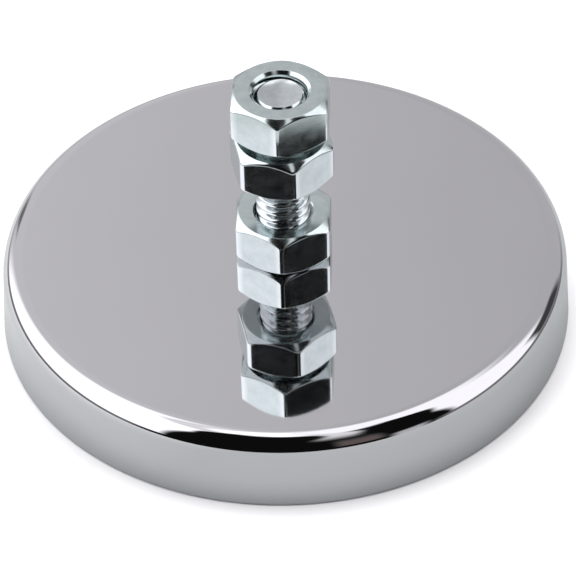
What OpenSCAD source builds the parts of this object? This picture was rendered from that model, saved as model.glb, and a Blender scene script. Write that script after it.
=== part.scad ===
// Round-base pot magnet: a drawn steel cup over a ring magnet, with a threaded
// stud through the cup's middle and three hex nuts on it.
// Millimetres. The origin is the middle of the rim plane, and +Z runs up the stud.

/* [Cup] */
// Outside diameter at the open rim
cup_d = 67; // [60:0.5:80]
// Height from the rim to the flat top
cup_h = 9.5; // [9:0.1:12]
// Thickness of the drawn sheet
sheet_t = 1.5; // [1.2:0.1:1.7]
// Outside radius of the rounded top edge
edge_r = 2.4; // [1.5:0.1:3]
// Inside radius under the top edge
inner_edge_r = 0.9; // [0.4:0.1:1]
// How far the wall leans in, from the rim to the top
wall_lean = 0.4; // [0.2:0.1:1.5]

/* [Ring magnet] */
// Width of the resin-filled gap between the ring and the rim of the cup
resin_gap = 2; // [1.8:0.1:4]
// Diameter of the hole through the ring
ring_bore_d = 20; // [18:0.5:24]
// How far the pull face sits inside the rim
face_recess = 0.4; // [0.2:0.1:0.8]
// Thickness of the glue film between the ring and the cup
film_t = 0.2; // [0.1:0.05:0.4]
// Ground chamfer on the ring's edges
ring_chamfer = 0.4; // [0.2:0.1:0.8]
// Level of the resin's surface above the rim plane
resin_level = 0.9; // [0.8:0.1:2]

/* [Stud] */
// Outside diameter of the thread
thread_d = 6.3; // [5:0.1:6.3]
// Length of the bolt under its head
bolt_len = 25.4; // [25.4:0.1:40]
// Height of the bolt head
head_h = 4.1; // [3.5:0.1:4.3]
// Width of the bolt head across its flats
head_af = 11; // [10.8:0.1:11.2]
// Chamfer at the stud's free end
end_chamfer = 0.6; // [0.3:0.1:1]
// Outside diameter of the washer under the head
washer_d = 15.9; // [14:0.1:16]
// Thickness of the washer under the head
washer_t = 1.2; // [1:0.1:1.6]

/* [Nuts] */
// Width of a nut across its flats
nut_af = 11; // [10.8:0.1:11.2]
// Thickness of a nut
nut_t = 5.4; // [5.3:0.1:5.6]
// Diameter of the round face inside the corner chamfers
nut_face_d = 10.4; // [9.8:0.1:10.8]
// Diameter of the countersink at each end of a nut's hole
countersink_d = 7.1; // [6.8:0.1:7.6]
// Height of the lower jam nut's underside above the cup
lower_nut_z = 11.25; // [11:0.05:11.4]
// Height of the upper jam nut's underside above the cup
upper_nut_z = 17.8; // [17.6:0.05:18]
// Turn of the base nut: its front corner from -Y towards +X, in degrees
base_nut_turn = -3; // [-30:0.5:30]
// Turn of the lower jam nut
lower_nut_turn = 12; // [-30:0.5:30]
// Turn of the upper jam nut
upper_nut_turn = -4; // [-30:0.5:30]

/* [Fits] */
// Radial clearance of the stud in the cup's hole
stud_clearance = 0.09; // [0.02:0.01:0.1]
// Radial clearance of a nut on the stud
nut_clearance = 0.05; // [0.02:0.01:0.1]

/* [Hidden] */
$fn = 96;
slack = 1;                         // how far a cutting tool runs past what it cuts
chamfer_slope = tan(35);           // rise of a hex corner chamfer for each mm outwards

rim_r = cup_d / 2;
top_r = rim_r - wall_lean;
ceiling_z = cup_h - sheet_t;       // underside of the cup's flat top
ring_r = rim_r - sheet_t - resin_gap;
ring_top = ceiling_z - film_t;
washer_z = ceiling_z - washer_t;   // also the height of the bolt head's bearing face
stud_end = washer_z + bolt_len;

chrome = [0.80, 0.80, 0.82];
zinc = [0.72, 0.74, 0.78];
ferrite = [0.16, 0.16, 0.17];
resin = [0.86, 0.83, 0.72];

// Where a line from the rim point p touches a circle at c of radius r, on its outer side
function touch_point(p, c, r) =
    let (d = norm(c - p),
         reach = sqrt(d * d - r * r),
         angle = atan2(c[1] - p[1], c[0] - p[0]) - asin(r / d))
    p + reach * [cos(angle), sin(angle)];

// Half section of a drawn cup: a leaning wall that runs into a rounded top edge
module cup_section(foot_r, crown_r, height, corner_r, foot_z) {
    centre = [crown_r - corner_r, height - corner_r];
    polygon([[0, foot_z], [foot_r, foot_z], [foot_r, 0],
             touch_point([foot_r, 0], centre, corner_r),
             centre, [centre[0], height], [0, height]]);
    translate(centre) circle(r = corner_r);
}

module cup_inside() {
    cup_section(rim_r - sheet_t, top_r - sheet_t, ceiling_z, inner_edge_r, -slack);
}

// Half section of the ring magnet, with its four ground edges
module ring_section() {
    bore_r = ring_bore_d / 2;
    c = ring_chamfer;
    polygon([[bore_r + c, face_recess], [ring_r - c, face_recess],
             [ring_r, face_recess + c], [ring_r, ring_top - c],
             [ring_r - c, ring_top], [bore_r + c, ring_top],
             [bore_r, ring_top - c], [bore_r, face_recess + c]]);
}

// Hex prism with its corners chamfered at its top, and at its foot where wanted
module chamfered_hex(af, face_d, height, foot_chamfer) {
    corner_r = af / sqrt(3);
    wide_r = corner_r + slack;
    drop = (wide_r - face_d / 2) * chamfer_slope;
    foot = foot_chamfer ? [[face_d / 2, 0], [wide_r, drop]] : [[wide_r, 0]];
    intersection() {
        cylinder(h = height, r = corner_r, $fn = 6);
        rotate_extrude()
            polygon(concat([[0, 0]], foot,
                           [[wide_r, height - drop], [face_d / 2, height], [0, height]]));
    }
}

// A nut standing on the cup's flat top, raised by z, with a corner turned from -Y towards +X
module hex_nut(z, turn) {
    hole_r = thread_d / 2 + nut_clearance;
    sink_r = countersink_d / 2;
    translate([0, 0, cup_h + z]) rotate(turn - 90) difference() {
        chamfered_hex(nut_af, nut_face_d, nut_t, true);
        translate([0, 0, -slack]) cylinder(h = nut_t + 2 * slack, r = hole_r);
        for (side = [0, 1])
            translate([0, 0, side * nut_t]) mirror([0, 0, side])
                cylinder(h = sink_r - hole_r, r1 = sink_r, r2 = hole_r);
    }
}

module pot_shell() {
    color(chrome) difference() {
        rotate_extrude() difference() {
            cup_section(rim_r, top_r, cup_h, edge_r, 0);
            cup_inside();
        }
        translate([0, 0, ceiling_z - slack])
            cylinder(h = sheet_t + 2 * slack, r = thread_d / 2 + stud_clearance);
    }
}

module ring_magnet() {
    color(ferrite) rotate_extrude() ring_section();
}

// Cured glue: a film over the ring and a bead that fills the gap to the wall
module resin_bond() {
    film_edge = ring_bore_d / 2 + 2 * ring_chamfer;
    color(resin) rotate_extrude() difference() {
        cup_inside();
        ring_section();
        translate([0, -2 * slack]) square([rim_r, resin_level + 2 * slack]);
        translate([0, -2 * slack]) square([film_edge, cup_h + 2 * slack]);
    }
}

module stud_bolt() {
    end_r = thread_d / 2 - end_chamfer;
    color(zinc) {
        translate([0, 0, washer_z]) mirror([0, 0, 1])
            chamfered_hex(head_af, 0.93 * head_af, head_h, false);
        translate([0, 0, washer_z - slack])
            cylinder(h = bolt_len + slack - end_chamfer, d = thread_d);
        translate([0, 0, stud_end - end_chamfer])
            cylinder(h = end_chamfer, r1 = thread_d / 2, r2 = end_r);
    }
}

module head_washer() {
    color(zinc) translate([0, 0, washer_z]) difference() {
        cylinder(h = washer_t, d = washer_d);
        translate([0, 0, -slack])
            cylinder(h = washer_t + 2 * slack, r = thread_d / 2 + stud_clearance);
    }
}

module base_nut() {
    color(zinc) hex_nut(0, base_nut_turn);
}

module lower_jam_nut() {
    color(zinc) hex_nut(lower_nut_z, lower_nut_turn);
}

module upper_jam_nut() {
    color(zinc) hex_nut(upper_nut_z, upper_nut_turn);
}

pot_shell();
ring_magnet();
resin_bond();
stud_bolt();
head_washer();
base_nut();
lower_jam_nut();
upper_jam_nut();
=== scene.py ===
"""The looks of the pot magnet.

A mirror-chromed cup on a white table, with a threaded stud and three zinc-plated nuts.
"""

from math import asin, atan2, ceil, cos, hypot, pi, radians, sin, sqrt, tan

import bpy
from mathutils import Matrix, Vector


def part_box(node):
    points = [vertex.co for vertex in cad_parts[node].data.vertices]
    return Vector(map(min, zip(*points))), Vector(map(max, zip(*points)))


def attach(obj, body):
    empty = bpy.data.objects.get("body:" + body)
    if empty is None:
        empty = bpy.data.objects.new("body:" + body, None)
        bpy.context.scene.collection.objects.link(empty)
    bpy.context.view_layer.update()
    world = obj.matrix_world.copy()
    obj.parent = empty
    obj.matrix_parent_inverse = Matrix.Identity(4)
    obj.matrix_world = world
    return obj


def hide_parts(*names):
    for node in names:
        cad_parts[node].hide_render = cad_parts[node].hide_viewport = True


MM = 0.001

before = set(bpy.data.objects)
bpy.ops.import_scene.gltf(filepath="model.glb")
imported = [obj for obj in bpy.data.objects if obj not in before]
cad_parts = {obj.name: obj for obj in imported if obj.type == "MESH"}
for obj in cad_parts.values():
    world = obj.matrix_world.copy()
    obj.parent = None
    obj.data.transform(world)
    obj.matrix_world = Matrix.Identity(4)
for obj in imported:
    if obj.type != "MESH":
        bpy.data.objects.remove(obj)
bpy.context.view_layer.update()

# ---------------------------------------------------------------- sizes, in millimetres


def low_high(node, axis):
    """The lowest and highest coordinate of a CAD node along an axis, in millimetres."""
    low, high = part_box(node)
    return low[axis] / MM, high[axis] / MM


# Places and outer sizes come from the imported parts.
RIM_R = low_high("pot_shell", 0)[1]
CUP_H = low_high("pot_shell", 2)[1]
WASHER_LOW, WASHER_HIGH = low_high("head_washer", 2)
WASHER_R = low_high("head_washer", 0)[1]
HEAD_LOW, STUD_END = low_high("stud_bolt", 2)
RING_LOW, RING_HIGH = low_high("ring_magnet", 2)
RING_R = low_high("ring_magnet", 0)[1]
RESIN_LOW, RESIN_HIGH = low_high("resin_bond", 2)

# Sizes that a part's box doesn't show repeat the CAD source.
SHEET = 1.5
EDGE_R = 2.4
INNER_EDGE_R = 0.9
WALL_LEAN = 0.4
RING_BORE_R = 10
RING_CHAMFER = 0.4
SHANK_R = 3.15
STUD_HOLE_R = SHANK_R + 0.09
END_CHAMFER = 0.6
HEAD_FLATS = 11
HEAD_FACE_R = 0.93 * HEAD_FLATS / 2
NUT_FLATS = 11
NUT_FACE_R = 5.2
NUT_TURN = {"base_nut": -3, "lower_jam_nut": 12, "upper_jam_nut": -4}
SINK_R = 3.55
CHAMFER_SLOPE = tan(radians(35))

# Fine details that only the looks have.
PITCH = 1.27
THREAD_DEPTH = 0.66
NUT_THREAD_DEPTH = 0.45
NUT_HOLE_R = 3.19
SINK_DEPTH = SINK_R - NUT_HOLE_R
NUT_CORNER_R = {"base_nut": 0.8, "lower_jam_nut": 0.8, "upper_jam_nut": 0.5}
HEAD_CORNER_R = 0.3
LIP_R = 0.25
# Distances from the axis at which the zinc starts to be worn bright and to carry a painted highlight along
# its corners, and where both are strongest
RUBBED_AND_SHEEN_FROM, RUBBED_AND_SHEEN_TO = 5.9, 6.2

# ---------------------------------------------------------------- mesh helpers


def arc_corner(before, at, after, radius, steps):
    """Points that round the corner of a section at `at` with an arc of this radius."""
    a, p, b = Vector(before), Vector(at), Vector(after)
    to_a, to_b = (a - p).normalized(), (b - p).normalized()
    half = to_a.angle(to_b) / 2
    if radius <= 0 or half > pi / 2 - 1e-4:
        return [tuple(p)] * (steps + 1)
    reach = min(radius / tan(half), 0.49 * (a - p).length, 0.49 * (b - p).length)
    radius = reach * tan(half)
    centre = p + (to_a + to_b).normalized() * (radius / sin(half))
    start, end = p + to_a * reach - centre, p + to_b * reach - centre
    sweep = pi - 2 * half
    points = []
    for i in range(steps + 1):
        t = i / steps
        spoke = (start * sin((1 - t) * sweep) + end * sin(t * sweep)) / sin(sweep)
        points.append(tuple(centre + spoke))
    return points


def rounded_path(path, radii, steps):
    """The inner corners of an open path, each rounded by its radius."""
    out = []
    for i, radius in enumerate(radii, 1):
        out += arc_corner(path[i - 1], path[i], path[i + 1], radius, steps)
    return out


def rounded_loop(corners, steps=3):
    """A closed section from (x, y, radius) corners, each rounded by its radius."""
    out = []
    for i, (x, y, radius) in enumerate(corners):
        before, after = corners[i - 1][:2], corners[(i + 1) % len(corners)][:2]
        out += arc_corner(before, (x, y), after, radius, steps)
    return out


def full_turn(count):
    """This many angles, evenly round a full turn."""
    return [2 * pi * k / count for k in range(count)]


def level_ring(r, z, around):
    """A ring of points about the axis, at one height."""
    return [(r * cos(a), r * sin(a), z) for a in full_turn(around)]


def swing(section, angle):
    """The points of a (radius, height) section, in the upright plane at this angle about the axis."""
    return [(r * cos(angle), r * sin(angle), z) for r, z in section]


def tube_mesh(name, rings, closed_rings=True, caps=False):
    """A mesh from rings of points, in millimetres.

    Each ring joins the next, and the last joins the first where they are closed. Caps fill both ends.
    """
    count = len(rings[0])
    verts = [(x * MM, y * MM, z * MM) for ring in rings for x, y, z in ring]
    faces = []
    last = len(rings) if closed_rings else len(rings) - 1
    for i in range(last):
        a, b = i * count, (i + 1) % len(rings) * count
        for k in range(count):
            m = (k + 1) % count
            faces.append((a + k, a + m, b + m, b + k))
    if caps:
        top = (len(rings) - 1) * count
        faces.append(tuple(reversed(range(count))))
        faces.append(tuple(range(top, top + count)))
    mesh = bpy.data.meshes.new(name)
    mesh.from_pydata(verts, [], faces)
    mesh.validate()
    mesh.update()
    return mesh


def make_piece(name, mesh, material, body, slot, *nodes, sharp=40):
    """A finished piece: smooth shading, its material, its body, and the CAD nodes it stands for."""
    piece = bpy.data.objects.new(name, mesh)
    bpy.context.scene.collection.objects.link(piece)
    mesh.materials.append(material)
    mesh.shade_smooth()
    mesh.set_sharp_from_angle(angle=radians(sharp))
    weights = piece.modifiers.new("face_normals", "WEIGHTED_NORMAL")
    weights.keep_sharp = True
    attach(piece, body)
    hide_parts(*nodes)


def lathe(name, section, around=256):
    """A solid of revolution from a closed (radius, height) section."""
    return tube_mesh(name, [level_ring(r, z, around) for r, z in section])


def hex_outline(flats, corner_radius, turn, corner_steps=5, flat_steps=9):
    """Points round a hexagon with rounded corners, as (angle, radius).

    turn is the angle of its front corner, from -Y towards +X.
    """
    corner_r = flats / sqrt(3)
    headings = [radians(turn - 90 + 60 * k) for k in range(6)]
    corners = [(corner_r * cos(a), corner_r * sin(a)) for a in headings]
    arcs = []
    for k, corner in enumerate(corners):
        following = corners[(k + 1) % 6]
        arcs.append(arc_corner(corners[k - 1], corner, following, corner_radius, corner_steps))
    outline = []
    for k, arc in enumerate(arcs):
        outline += arc
        flat_start, flat_end = Vector(arc[-1]), Vector(arcs[(k + 1) % 6][0])
        for i in range(1, flat_steps):
            outline.append(tuple(flat_start.lerp(flat_end, i / flat_steps)))
    return [(atan2(y, x), hypot(x, y)) for x, y in outline]


def thread_radius(angle, z, crest_r, root_r, flat_share=0.08):
    """Radius of a rolled right-hand thread, with rounded crests and roots, at an angle and a height."""
    phase = (z / PITCH - angle / (2 * pi)) % 1
    from_crest = abs(phase - 0.5) * 2
    flank = min(1, max(0, (from_crest - flat_share) / (1 - 2 * flat_share)))
    return crest_r + (root_r - crest_r) * flank * flank * (3 - 2 * flank)


# ---------------------------------------------------------------- material helpers


def new_material(name, colour, metallic, roughness, **sockets):
    """A material with its Principled shader's own values set, and that shader."""
    material = bpy.data.materials.new(name)
    material.use_nodes = True
    material.diffuse_color = (*colour, 1)
    shader = material.node_tree.nodes["Principled BSDF"]
    shader.inputs["Base Color"].default_value = (*colour, 1)
    shader.inputs["Metallic"].default_value = metallic
    shader.inputs["Roughness"].default_value = roughness
    for socket, value in sockets.items():
        shader.inputs[socket.replace("_", " ")].default_value = value
    return material, shader


class Nodes:
    """Short forms for the nodes that the materials share."""

    def __init__(self, tree):
        self.tree = tree
        self.place = tree.nodes.new("ShaderNodeTexCoord").outputs["Object"]

    def link(self, a, b):
        self.tree.links.new(a, b)

    def noise(self, scale, detail=3, rough=0.5, stretch=None):
        """Noise of this many features a metre, squeezed by a factor along each axis where wanted."""
        node = self.tree.nodes.new("ShaderNodeTexNoise")
        node.inputs["Scale"].default_value = scale
        node.inputs["Detail"].default_value = detail
        node.inputs["Roughness"].default_value = rough
        place = self.place
        if stretch:
            scaled = self.tree.nodes.new("ShaderNodeVectorMath")
            scaled.operation = "MULTIPLY"
            scaled.inputs[1].default_value = stretch
            self.link(place, scaled.inputs[0])
            place = scaled.outputs[0]
        self.link(place, node.inputs["Vector"])
        return node.outputs["Fac"]

    def spread(self, value, low, high, to_low, to_high):
        """The value's stretch from low to high, taken to another range."""
        node = self.tree.nodes.new("ShaderNodeMapRange")
        node.inputs["From Min"].default_value = low
        node.inputs["From Max"].default_value = high
        node.inputs["To Min"].default_value = to_low
        node.inputs["To Max"].default_value = to_high
        self.link(value, node.inputs["Value"])
        return node.outputs["Result"]

    def mix(self, factor, a, b):
        """A colour between a and b, each of them a colour or a socket."""
        node = self.tree.nodes.new("ShaderNodeMix")
        node.data_type = "RGBA"
        self.link(factor, node.inputs["Factor"])
        for socket, colour in (("A", a), ("B", b)):
            if isinstance(colour, tuple):
                node.inputs[socket].default_value = (*colour, 1)
            else:
                self.link(colour, node.inputs[socket])
        return node.outputs["Result"]

    def from_axis(self):
        """Distance from the part's axis, in metres."""
        flat = self.tree.nodes.new("ShaderNodeVectorMath")
        flat.operation = "MULTIPLY"
        flat.inputs[1].default_value = (1, 1, 0)
        self.link(self.place, flat.inputs[0])
        length = self.tree.nodes.new("ShaderNodeVectorMath")
        length.operation = "LENGTH"
        self.link(flat.outputs[0], length.inputs[0])
        return length.outputs["Value"]

    def bump(self, shader, height, strength, distance):
        """Bump on a shader from a height, over whatever bump it has already."""
        node = self.tree.nodes.new("ShaderNodeBump")
        node.inputs["Strength"].default_value = strength
        node.inputs["Distance"].default_value = distance
        self.link(height, node.inputs["Height"])
        for old in list(shader.inputs["Normal"].links):
            self.link(old.from_socket, node.inputs["Normal"])
        self.link(node.outputs["Normal"], shader.inputs["Normal"])


# ---------------------------------------------------------------- materials


def chrome_material():
    """Bright chrome plate: nearly a mirror, with a faint haze and the least ripple of drawn sheet."""
    material, shader = new_material("chrome_plate", (0.63, 0.625, 0.64), 1, 0.03)
    n = Nodes(material.node_tree)
    haze = n.spread(n.noise(90, 4), 0.35, 0.7, 0.02, 0.05)
    n.link(haze, shader.inputs["Roughness"])
    tint = n.mix(n.noise(60, 2), (0.615, 0.61, 0.625), (0.645, 0.64, 0.655))
    n.link(tint, shader.inputs["Base Color"])
    n.bump(shader, n.noise(120, 1), 0.05, 0.00002)
    return material


def zinc_material(name, light, dark, roughness):
    """Bright zinc plate over rolled steel: bluish, a little mottled, and lighter on its corners, partly
    from wear and partly a painted highlight.
    """
    material, shader = new_material(name, light, 1, roughness)
    n = Nodes(material.node_tree)
    mottle = n.spread(n.noise(700, 5, 0.6), 0.35, 0.7, 0, 1)
    plate = n.mix(mottle, light, dark)
    rubbed_and_sheen = n.spread(n.from_axis(), RUBBED_AND_SHEEN_FROM * MM, RUBBED_AND_SHEEN_TO * MM, 0, 0.7)
    # Near the corners the plate turns pale: partly wear, partly a painted highlight along the edges.
    n.link(n.mix(rubbed_and_sheen, plate, (0.86, 0.91, 0.92)), shader.inputs["Base Color"])
    sheen = n.spread(n.noise(900, 4), 0.3, 0.7, roughness * 0.85, roughness * 1.2)
    n.link(sheen, shader.inputs["Roughness"])
    n.bump(shader, n.noise(1500, 3), 0.1, 0.00001)
    return material


def ferrite_material():
    """Sintered ferrite, ground dark grey, with a sandy grain and fine grinding marks."""
    material, shader = new_material("ferrite", (0.045, 0.045, 0.05), 0, 0.55)
    n = Nodes(material.node_tree)
    grain = n.noise(1800, 6, 0.7)
    colour = n.mix(n.spread(grain, 0.3, 0.7, 0, 1), (0.03, 0.03, 0.034), (0.075, 0.075, 0.08))
    n.link(colour, shader.inputs["Base Color"])
    n.link(n.spread(n.noise(500, 4), 0.3, 0.7, 0.42, 0.68), shader.inputs["Roughness"])
    n.bump(shader, n.noise(900, 4, stretch=(0.15, 4, 1)), 0.35, 0.00005)
    n.bump(shader, grain, 0.3, 0.00004)
    return material


def resin_material():
    """Cured amber epoxy with small lumps and a soft gloss."""
    material, shader = new_material("resin", (0.42, 0.34, 0.19), 0, 0.3, Coat_Weight=0.3)
    n = Nodes(material.node_tree)
    colour = n.mix(n.noise(300, 4), (0.36, 0.28, 0.15), (0.5, 0.42, 0.26))
    n.link(colour, shader.inputs["Base Color"])
    n.link(n.spread(n.noise(700, 3), 0.3, 0.7, 0.2, 0.45), shader.inputs["Roughness"])
    n.bump(shader, n.noise(450, 3), 0.5, 0.0002)
    return material


CHROME = chrome_material()
ZINC_NUT = zinc_material("zinc_nut", (0.61, 0.68, 0.675), (0.53, 0.6, 0.6), 0.14)
ZINC_BOLT = zinc_material("zinc_bolt", (0.66, 0.7, 0.71), (0.54, 0.58, 0.6), 0.13)
FERRITE = ferrite_material()
RESIN = resin_material()

# ---------------------------------------------------------------- the pieces


def cup_touch(foot_r, centre, radius):
    """Angle on the edge's circle at which the leaning wall from the rim meets it."""
    dx, dy = centre[0] - foot_r, centre[1]
    slope = atan2(dy, dx) - asin(radius / hypot(dx, dy))
    return slope - pi / 2


def cup_arc(foot_r, crown_r, height, radius, steps):
    """The rounded edge of a cup's section, from the wall up to the flat."""
    centre = (crown_r - radius, height - radius)
    start = cup_touch(foot_r, centre, radius)
    angles = [start + (pi / 2 - start) * i / steps for i in range(steps + 1)]
    return [(centre[0] + radius * cos(a), centre[1] + radius * sin(a)) for a in angles]


def pot_shell():
    """The drawn cup: a flat top with a hole, a rounded edge and a leaning wall, rounded off at the rim."""
    foot_r, crown_r = RIM_R - SHEET, RIM_R - WALL_LEAN
    hole_break = 0.1
    outer = cup_arc(RIM_R, crown_r, CUP_H, EDGE_R, 24)
    inner = cup_arc(foot_r, crown_r - SHEET, CUP_H - SHEET, INNER_EDGE_R, 8)
    lip = arc_corner((foot_r, 0), (RIM_R, 0), outer[0], LIP_R, 5)
    wall_foot, wall_top = Vector(lip[-1]), Vector(outer[0])
    wall = [tuple(wall_foot.lerp(wall_top, t)) for t in (0.02, 0.25, 0.5, 0.75, 0.98)]
    flat = [(outer[-1][0] - inwards, CUP_H) for inwards in (0.05, 1, 8, 16, 24)]
    section = [(foot_r, 0), (foot_r + 0.2, 0), *lip, *wall, *outer, *flat]
    section += [(STUD_HOLE_R + hole_break, CUP_H), (STUD_HOLE_R, CUP_H - hole_break)]
    section += [(STUD_HOLE_R, CUP_H - SHEET), *reversed(inner)]
    mesh = lathe("pot_shell_looks", section, 360)
    make_piece("cup", mesh, CHROME, "pot", "chrome_plate", "pot_shell", sharp=35)


def ring_magnet():
    """The ferrite ring with small ground chamfers."""
    c = RING_CHAMFER
    corners = [(RING_BORE_R, RING_LOW + c), (RING_BORE_R + c, RING_LOW)]
    corners += [(RING_R - c, RING_LOW), (RING_R, RING_LOW + c)]
    corners += [(RING_R, RING_HIGH - c), (RING_R - c, RING_HIGH)]
    corners += [(RING_BORE_R + c, RING_HIGH), (RING_BORE_R, RING_HIGH - c)]
    section = rounded_loop([(r, z, 0.08) for r, z in corners], 2)
    mesh = lathe("ring_magnet_looks", section, 256)
    make_piece("ferrite_ring", mesh, FERRITE, "pot", "ferrite", "ring_magnet")


def glue_wall_r(z):
    """Radius of the cup's inner wall at a height, less a hair."""
    lean = WALL_LEAN / (CUP_H - EDGE_R)
    return RIM_R - SHEET - lean * z - 0.02


def glue_level(angle, across):
    """Height of the glue's surface: uneven round the gap, and hollow across it (across is 0 to 1)."""
    wave = 0.08 * sin(3 * angle + 1) + 0.05 * sin(7 * angle) + 0.03 * sin(17 * angle + 2)
    hollow = 0.35 * (1 - (2 * across - 1) ** 2)
    return RESIN_LOW + 0.12 + hollow + wave * (0.3 + hollow)


def resin_bond():
    """The glue bead in the gap, whose hollow surface climbs both walls, and its film over the ring."""
    around, steps_across = 256, 10
    rings = []
    for i in range(steps_across + 1):
        t = i / steps_across
        ring = []
        for a in full_turn(around):
            z = glue_level(a, t)
            r = RING_R + (glue_wall_r(z) - RING_R) * t
            ring.append((r * cos(a), r * sin(a), z))
        rings.append(ring)
    film_r = RING_BORE_R + 2 * RING_CHAMFER
    shoulder, c = 0.4, RING_CHAMFER
    wall_r = glue_wall_r(RESIN_HIGH - shoulder)
    back = [(wall_r, RESIN_HIGH - shoulder), (wall_r - shoulder, RESIN_HIGH)]
    back += [(film_r, RESIN_HIGH), (film_r, RING_HIGH), (RING_R - c, RING_HIGH), (RING_R, RING_HIGH - c)]
    rings += [level_ring(r, z, around) for r, z in back]
    mesh = tube_mesh("resin_bond_looks", rings)
    make_piece("glue_bead", mesh, RESIN, "pot", "resin", "resin_bond")


def head_washer():
    """A plain stamped washer, its lower outer edge rolled over by the punch."""
    corners = [(STUD_HOLE_R, WASHER_LOW, 0.1), (WASHER_R, WASHER_LOW, 0.3)]
    corners += [(WASHER_R, WASHER_HIGH, 0.05), (STUD_HOLE_R, WASHER_HIGH, 0.05)]
    mesh = lathe("head_washer_looks", rounded_loop(corners), 128)
    make_piece("washer", mesh, ZINC_BOLT, "stud", "zinc_bolt", "head_washer")


def bolt_thread():
    """The stud's threaded shank. The thread runs out on a chamfer, and the end is cupped."""
    around, rings_a_turn = 120, 24
    dish_rings, dish_depth, dish_power = 16, 0.36, 2.6
    length = STUD_END - WASHER_LOW
    count = ceil(length / PITCH * rings_a_turn)
    end_r = SHANK_R - END_CHAMFER
    rings = []
    for i in range(count + 1):
        z = WASHER_LOW + length * i / count
        ring = []
        for a in full_turn(around):
            r = min(thread_radius(a, z, SHANK_R, SHANK_R - THREAD_DEPTH), end_r + STUD_END - z)
            ring.append((r * cos(a), r * sin(a), z))
        rings.append(ring)
    for i in range(1, dish_rings + 1):
        share = 1 - i / (dish_rings + 0.5)
        z = STUD_END - dish_depth * (1 - share**dish_power)
        rings.append([(x * share, y * share, z) for x, y, _ in rings[count]])
    mesh = tube_mesh("bolt_thread_looks", rings, closed_rings=False, caps=True)
    make_piece("stud_thread", mesh, ZINC_BOLT, "stud", "zinc_bolt", "stud_bolt", sharp=50)


def bolt_head():
    """The bolt's hex head, below the washer, with its corner chamfers on the lower face."""
    middle_r = HEAD_FACE_R * 0.5
    columns = []
    for a, r in hex_outline(HEAD_FLATS, HEAD_CORNER_R, 90):
        drop = (r - HEAD_FACE_R) * CHAMFER_SLOPE
        path = [(0, HEAD_LOW), (HEAD_FACE_R, HEAD_LOW), (r, HEAD_LOW + drop)]
        path += [(r, WASHER_LOW), (0, WASHER_LOW)]
        edges = rounded_path(path, (0.2, 0.15, 0.15), 3)
        columns.append(swing([(middle_r, HEAD_LOW), *edges, (middle_r, WASHER_LOW)], a))
    mesh = tube_mesh("bolt_head_looks", list(zip(*columns)), closed_rings=False, caps=True)
    make_piece("bolt_head", mesh, ZINC_BOLT, "stud", "zinc_bolt", "stud_bolt")


def nut_outside(r, low, high, corner_r):
    """A nut's section where its outline has radius r, from the lower countersink round to the upper one."""
    drop = (r - NUT_FACE_R) * CHAMFER_SLOPE
    foot = [(SINK_R, low), (NUT_FACE_R, low), (r, low + drop)]
    head = [(r, high - drop), (NUT_FACE_R, high), (SINK_R, high)]
    path = [(NUT_HOLE_R, low + SINK_DEPTH), *foot, *head, (NUT_HOLE_R, high - SINK_DEPTH)]
    flat_edge = 0.6 * corner_r
    return rounded_path(path, (0.08, 0.12, flat_edge, flat_edge, 0.12, 0.08), 4)


def nut_bore(angle, low, high):
    """The threaded hole's section at an angle, from the top down. The thread fades out at both ends."""
    rings_a_turn, fade = 14, 0.3
    length = high - low - 2 * SINK_DEPTH
    count = ceil(length / PITCH * rings_a_turn)
    section = []
    for i in range(count + 1):
        z = high - SINK_DEPTH - length * i / count
        share = min(1, (z - low - SINK_DEPTH) / fade, (high - SINK_DEPTH - z) / fade)
        groove_r = thread_radius(angle, z, NUT_HOLE_R + NUT_THREAD_DEPTH, NUT_HOLE_R)
        section.append((NUT_HOLE_R + (groove_r - NUT_HOLE_R) * share, z))
    return section


def hex_nut(node, body):
    """A hex nut with chamfered corners, a countersink at both ends and an inside thread."""
    low, high = low_high(node, 2)
    corner_r = NUT_CORNER_R[node]
    columns = []
    for a, r in hex_outline(NUT_FLATS, corner_r, NUT_TURN[node]):
        section = nut_outside(r, low, high, corner_r) + nut_bore(a, low, high)
        columns.append(swing(section, a))
    mesh = tube_mesh(node + "_looks", list(zip(*columns)))
    make_piece("hex_" + node, mesh, ZINC_NUT, body, "zinc_nut", node)


pot_shell()
ring_magnet()
resin_bond()
head_washer()
bolt_thread()
bolt_head()
hex_nut("base_nut", "nut_base")
hex_nut("lower_jam_nut", "nut_lower")
hex_nut("upper_jam_nut", "nut_upper")

# ---------------------------------------------------------------- table, light and camera


def make_table(name, height, radius, mirrored):
    """One round white table top, sized in metres.

    The one that the metal mirrors is greyer, as painted shade, and lighter towards -X, as painted light;
    only the metal sees it.
    """
    # The mirrored table is a greyer copy of the white one: painted shade, seen only in the metal.
    shade = 0.6 if mirrored else 0.93
    material, shader = new_material(name, (shade, shade, shade), 0, 0.9)
    shader.inputs["Specular IOR Level"].default_value = 0
    if mirrored:
        n = Nodes(material.node_tree)
        split = material.node_tree.nodes.new("ShaderNodeSeparateXYZ")
        n.link(n.place, split.inputs[0])
        # Painted light: the mirrored table is lighter towards -X, where the left panels light it.
        left = n.spread(split.outputs["X"], -0.07, -0.015, 1, 0)
        n.link(n.mix(left, (0.475, 0.495, 0.49), (0.74, 0.755, 0.745)), shader.inputs["Base Color"])
    mesh = bpy.data.meshes.new(name)
    edge = level_ring(radius, height, 96)
    mesh.from_pydata(edge, [], [tuple(range(len(edge)))])
    mesh.materials.append(material)
    table = bpy.data.objects.new(name, mesh)
    bpy.context.scene.collection.objects.link(table)
    table.visible_camera = not mirrored
    table.visible_diffuse = not mirrored
    table.visible_glossy = mirrored
    table.visible_shadow = not mirrored


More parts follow.
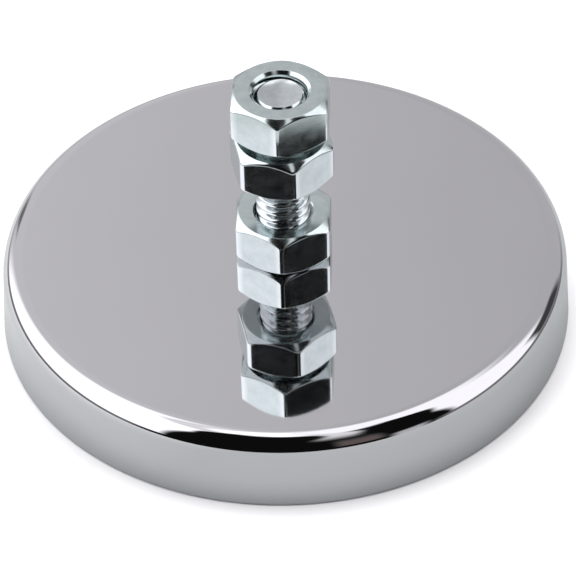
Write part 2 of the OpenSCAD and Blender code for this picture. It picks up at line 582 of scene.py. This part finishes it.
class Sky:
    """Nodes that give the studio's brightness by direction.

    Heading is 0 towards -Y, the camera's side, and grows towards +X. Height is above the horizon.
    Both are in degrees, and x is how far the direction points towards +X.
    """

    def __init__(self, tree):
        self.tree = tree
        split = tree.nodes.new("ShaderNodeSeparateXYZ")
        tree.links.new(tree.nodes.new("ShaderNodeTexCoord").outputs["Generated"], split.inputs[0])
        x, y, z = split.outputs
        to_camera = self.math("MULTIPLY", y, -1)
        self.x = x
        self.heading = self.math("MULTIPLY", self.math("ARCTAN2", x, to_camera), 180 / pi)
        self.height = self.math("MULTIPLY", self.math("ARCSINE", z), 180 / pi)
        self.from_front = self.math("ABSOLUTE", self.heading)

    def math(self, operation, a, b=None):
        node = self.tree.nodes.new("ShaderNodeMath")
        node.operation = operation
        for i, value in enumerate((a, b)):
            if isinstance(value, (int, float)):
                node.inputs[i].default_value = value
            elif value is not None:
                self.tree.links.new(value, node.inputs[i])
        return node.outputs[0]

    def times(self, *values):
        product = values[0]
        for value in values[1:]:
            product = self.math("MULTIPLY", product, value)
        return product

    def ramp(self, value, start, end):
        """0 at start and 1 at end, with soft ends; start may be the larger."""
        node = self.tree.nodes.new("ShaderNodeMapRange")
        node.interpolation_type = "SMOOTHSTEP"
        node.inputs["From Min"].default_value = min(start, end)
        node.inputs["From Max"].default_value = max(start, end)
        node.inputs["To Min"].default_value = 0 if start < end else 1
        node.inputs["To Max"].default_value = 1 if start < end else 0
        self.tree.links.new(value, node.inputs["Value"])
        return node.outputs[0]

    def near(self, value, middle, half, soft):
        """1 within half of the middle, and 0 from there on past a soft edge."""
        off = self.math("ABSOLUTE", self.math("SUBTRACT", value, middle))
        return self.ramp(off, half + soft, half)

    def blend(self, factor, a, b):
        """Brightness b where the factor is 1, and a where it is 0."""
        rest = self.math("MULTIPLY", a, self.math("SUBTRACT", 1, factor))
        return self.math("ADD", rest, self.math("MULTIPLY", b, factor))


# Brightness of what is almost unlit: the camera side and the gap below it
DARK = 0.006


def panel_light(sky):
    """Brightness of the white panels at both sides and above, with a dimmer seam high on the left."""
    panels = sky.blend(sky.ramp(sky.heading, 0, 40), 1.9, 1.55)
    seam = sky.times(sky.near(sky.height, 73, 2, 4), sky.ramp(sky.heading, -20, -50))
    return sky.blend(seam, panels, 1.1)


def backdrop_light(sky):
    """Brightness of the backdrop, which falls off from left to right."""
    light = sky.math("SUBTRACT", 0.7, sky.x)
    return sky.math("MINIMUM", sky.math("MAXIMUM", light, 0.62), 0.8)


def gap_light(sky):
    """Brightness of the low gap between the table and the panels: dark in front, grey elsewhere."""
    gap = sky.blend(sky.ramp(sky.from_front, 48, 62), DARK, 0.24)
    return sky.blend(sky.ramp(sky.from_front, 122, 148), gap, 0.62)


def behind(sky):
    """Where the backdrop is, beyond the side panels. It fades out upwards, and is highest in its middle."""
    beyond = sky.math("MAXIMUM", sky.ramp(sky.heading, 108, 122), sky.ramp(sky.heading, -128, -144))
    top = sky.math("SUBTRACT", sky.height, sky.times(sky.ramp(sky.from_front, 135, 175), 19))
    return sky.times(beyond, sky.ramp(top, 64, 48))


def dark_front(sky):
    """Where the dark camera side is. It widens upwards, more to the right, and ends lower there."""
    left = sky.math("ADD", sky.heading, sky.times(sky.ramp(sky.height, 50, 76), 14))
    right = sky.math("SUBTRACT", sky.heading, sky.times(sky.ramp(sky.height, 36, 72), 22))
    top = sky.math("ADD", sky.height, sky.times(sky.ramp(sky.heading, 10, 45), 6))
    return sky.times(sky.ramp(left, -48.5, -43.5), sky.ramp(right, 63, 58), sky.ramp(top, 82, 76))


def pale_sleeve(sky):
    """A pale streak high on the dark side, which leans towards +X as it rises."""
    leaning = sky.math("SUBTRACT", sky.heading, sky.times(sky.ramp(sky.height, 46, 70), 12))
    upper = sky.times(sky.ramp(sky.height, 38, 66), sky.ramp(sky.height, 90, 82))
    return sky.times(sky.near(leaning, 20, 5, 9), upper)


def brown_hand(sky):
    """A brownish patch low on the dark side."""
    return sky.times(sky.near(sky.heading, 25, 5, 6), sky.ramp(sky.height, 42, 18))


def dark_stand(sky):
    """A dark stand between the right panel and the backdrop."""
    return sky.times(sky.near(sky.heading, 114, 8, 7), sky.near(sky.height, 14, 8, 8))


def thin_post(sky):
    """A thin post in front of the backdrop, on the left."""
    return sky.times(sky.near(sky.heading, -150, 1, 4), sky.near(sky.height, 12, 5, 8))


def pale_patch(sky):
    """Something pale that stands on the table's edge, in front and to the right."""
    return sky.times(sky.near(sky.heading, 43, 3, 6), sky.ramp(sky.height, 12, 3))


def make_studio():
    """The soft studio that the polished chrome shows, laid on from its walls to what stands before them."""
    world = bpy.data.worlds.new("studio")
    bpy.context.scene.world = world
    world.use_nodes = True
    background = world.node_tree.nodes["Background"]
    sky = Sky(world.node_tree)
    hand = brown_hand(sky)
    low_gap, below_table = sky.ramp(sky.height, 5, 1), sky.ramp(sky.height, -8, -12)
    light = sky.blend(behind(sky), panel_light(sky), backdrop_light(sky))
    layers = (
        (dark_front(sky), DARK),
        (pale_sleeve(sky), 1.1),
        (hand, 0.16),
        (dark_stand(sky), 0.07),
        (thin_post(sky), 0.2),
        (low_gap, gap_light(sky)),
        (pale_patch(sky), 0.65),
        (below_table, 0.45),
    )
    for area, brightness in layers:
        light = sky.blend(area, light, brightness)
    tint = world.node_tree.nodes.new("ShaderNodeMix")
    tint.data_type = "RGBA"
    tint.inputs["A"].default_value = (0.975, 0.965, 1, 1)
    tint.inputs["B"].default_value = (1, 0.8, 0.76, 1)
    links = world.node_tree.links
    links.new(light, background.inputs["Strength"])
    links.new(hand, tint.inputs["Factor"])
    links.new(tint.outputs["Result"], background.inputs["Color"])


def make_fill():
    """An overhead fill that whitens the table and isn't mirrored in the metal."""
    lamp = bpy.data.lights.new("table_fill", "AREA")
    lamp.shape = "DISK"
    lamp.size = 1.2
    lamp.energy = 16
    fill = bpy.data.objects.new("table_fill", lamp)
    fill.location = (0, 0.3, 1.5)
    fill.rotation_euler = (radians(-11), 0, 0)
    fill.visible_glossy = False
    bpy.context.scene.collection.objects.link(fill)


def make_camera():
    """A long lens from 42 degrees above the table, rolled a little, as a hand-held studio shot."""
    distance = 413.4 * MM
    elevation, roll = radians(42.33), radians(-1.64)
    target = Vector((0.28, 0, 2.465)) * MM
    back = Vector((0, -cos(elevation), sin(elevation)))
    right, up = Vector((1, 0, 0)), Vector((0, sin(elevation), cos(elevation)))
    rolled_right = right * cos(roll) + up * sin(roll)
    rolled_up = up * cos(roll) - right * sin(roll)
    data = bpy.data.cameras.new("camera")
    data.sensor_width = 36
    data.lens = 218
    data.clip_start = 0.01
    data.clip_end = 20
    camera = bpy.data.objects.new("camera", data)
    turn = Matrix((rolled_right, rolled_up, back)).transposed()
    camera.matrix_world = Matrix.Translation(target + back * distance) @ turn.to_4x4()
    bpy.context.scene.collection.objects.link(camera)
    bpy.context.scene.camera = camera


make_table("table", 0, 3.0, False)
make_table("mirrored_table", 0.00001, 0.09, True)
make_studio()
make_fill()
make_camera()
bpy.context.scene.view_settings.view_transform = "Standard"
